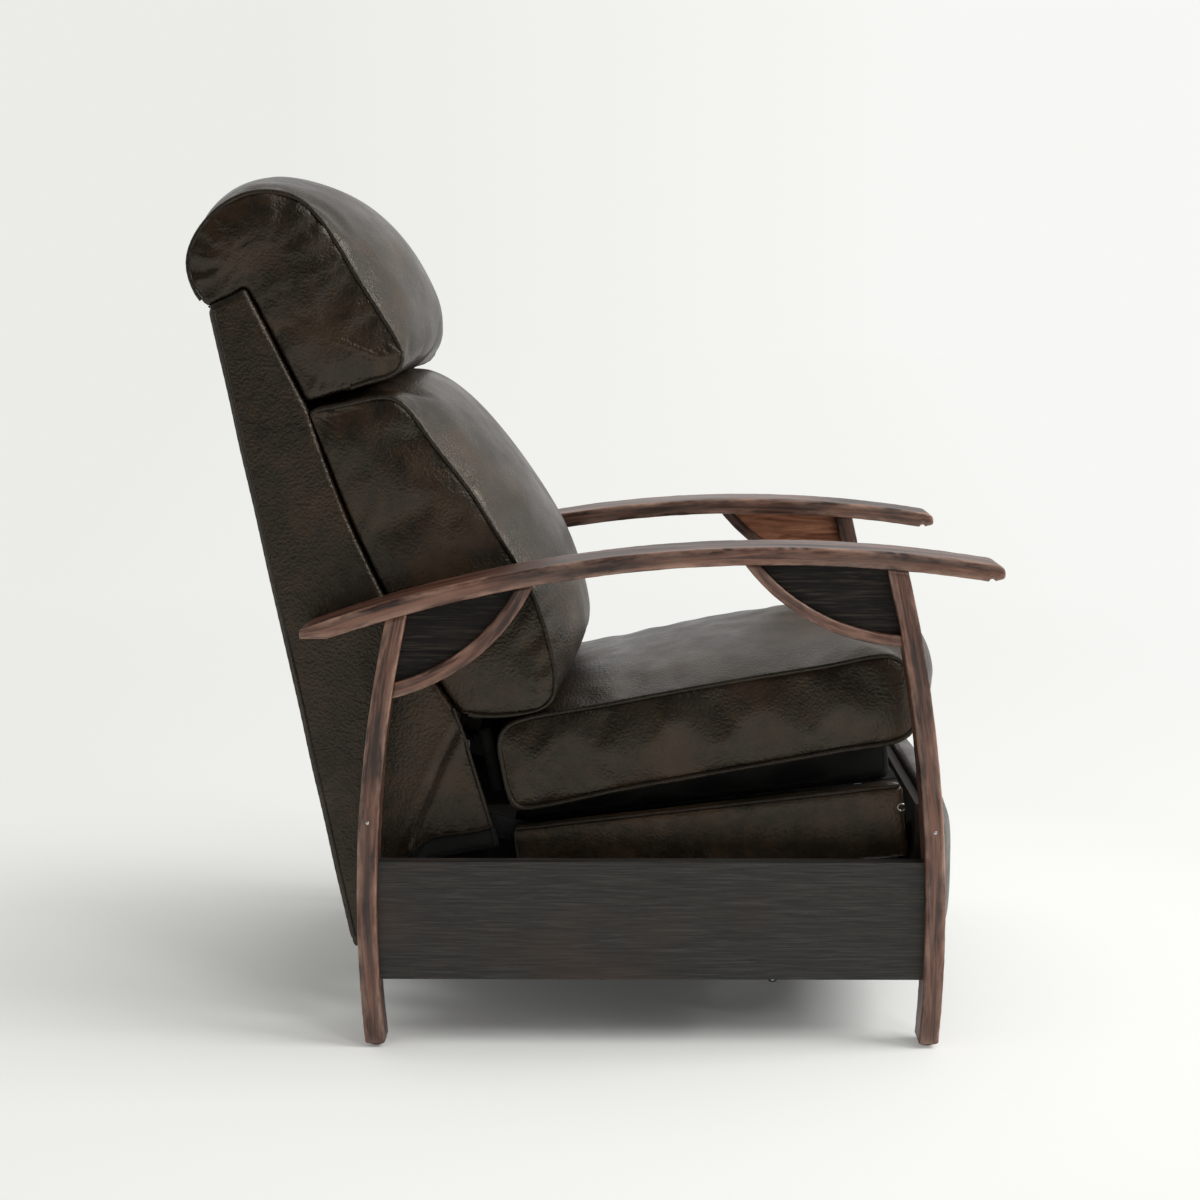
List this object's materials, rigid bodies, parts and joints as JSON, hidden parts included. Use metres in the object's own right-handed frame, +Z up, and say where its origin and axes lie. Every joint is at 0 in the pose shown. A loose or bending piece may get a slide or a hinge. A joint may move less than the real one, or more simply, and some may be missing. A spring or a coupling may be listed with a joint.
{
  "type": "push-back recliner armchair",
  "caption": "Recliner armchair with a bent barrel-stave frame, leather cushions, a seat that slides forward as the back leans, and a footrest that folds out on flat steel links.",
  "frame": {"origin": "middle of the overall box, on the floor", "axes": "+Z up, the chair faces -Y, the sitter's left is +X"},
  "size_m": [0.76, 1.06, 1.1537],
  "materials": {
    "stave_wood": "dark oiled stave oak with worn edges",
    "board_wood": "charred dark board",
    "rail_wood": "plain sawn",
    "leather": "dark brown pebbled",
    "cloth": "woven lining cloth",
    "black_steel": "satin black",
    "zinc": "zinc plated",
    "nylon": "natural nylon",
    "glide": "brown moulded"
  },
  "bodies": {
    "frame": {"foot_glides": "glide", "front_cross_rail": "rail_wood", "left_arm": "stave_wood", "left_front_arm_panel": "board_wood", "left_front_brace": "stave_wood", "left_front_leg": "stave_wood", "left_rear_arm_panel": "board_wood", "left_rear_brace": "stave_wood", "left_rear_leg": "stave_wood", "left_side_panel": "board_wood", "left_track": "black_steel", "rear_cross_rail": "rail_wood", "right_arm": "stave_wood", "right_front_arm_panel": "board_wood", "right_front_brace": "stave_wood", "right_front_leg": "stave_wood", "right_rear_arm_panel": "board_wood", "right_rear_brace": "stave_wood", "right_rear_leg": "stave_wood", "right_side_panel": "board_wood", "right_track": "black_steel", "track_screws": "zinc"},
    "seat": {"footrest_pivot_plates": "black_steel", "hinge_arms": "black_steel", "hinge_pins": "zinc", "left_apron": "leather", "left_carriage": "black_steel", "left_seat_rail": "rail_wood", "right_apron": "leather", "right_carriage": "black_steel", "right_seat_rail": "rail_wood", "seat_cushion": "leather", "seat_deck": "cloth", "seat_end_rails": "rail_wood", "seat_pins": "zinc", "seat_webbing": "cloth", "slide_blocks": "nylon"},
    "back": {"back_foam": "cloth", "back_rails": "rail_wood", "back_webbing": "cloth", "head_cushion": "leather", "hinge_plates": "black_steel", "left_back_post": "rail_wood", "left_wing": "leather", "lumbar_cushion": "leather", "outside_back": "leather", "right_back_post": "rail_wood", "right_wing": "leather"},
    "drive": {"drive_links": "black_steel", "drive_tube": "black_steel", "knee_pins": "zinc"},
    "control": {"control_links": "black_steel", "control_pins": "zinc"},
    "lift": {"lift_links": "black_steel"},
    "tilt": {"tilt_links": "black_steel"},
    "footrest": {"foot_pins": "zinc", "footrest_board": "rail_wood", "footrest_brackets": "black_steel", "footrest_pad": "leather"}
  },
  "joints": [
    {"name": "seat_glide", "type": "slide", "parent": "frame", "child": "seat", "axis": [0, -0.9932, 0.1167], "range_m": [0, 0.08]},
    {"name": "back_recline", "type": "hinge", "parent": "seat", "child": "back", "pos_m": [0, 0.205, 0.285], "axis": [-1, 0, 0], "range_deg": [0, 30]},
    {"name": "footrest_open", "type": "hinge", "parent": "seat", "child": "drive", "pos_m": [0, -0.305, 0.292], "axis": [-1, 0, 0], "range_deg": [0, 92]},
    {"name": "control_swing", "type": "hinge", "parent": "seat", "child": "control", "pos_m": [0, -0.27663, 0.26984], "axis": [-1, 0, 0], "range_deg": [0, 92]},
    {"name": "lift_swing", "type": "hinge", "parent": "drive", "child": "lift", "pos_m": [0, -0.27508, 0.07909], "axis": [1, 0, 0], "range_deg": [0, 92]},
    {"name": "tilt_swing", "type": "hinge", "parent": "drive", "child": "tilt", "pos_m": [0, -0.28064, 0.1187], "axis": [1, 0, 0], "range_deg": [0, 92]},
    {"name": "footrest_turn", "type": "hinge", "parent": "lift", "child": "footrest", "pos_m": [0, -0.405, 0.185], "axis": [-1, 0, 0], "range_deg": [0, 92]}
  ],
  "couplings": [
    {"joint": "back_recline", "follows": "seat_glide", "rad_per_m": 6.545},
    {"joint": "control_swing", "follows": "footrest_open", "ratio": 1},
    {"joint": "lift_swing", "follows": "footrest_open", "ratio": 1},
    {"joint": "tilt_swing", "follows": "footrest_open", "ratio": 1},
    {"joint": "footrest_turn", "follows": "footrest_open", "ratio": 1}
  ]
}
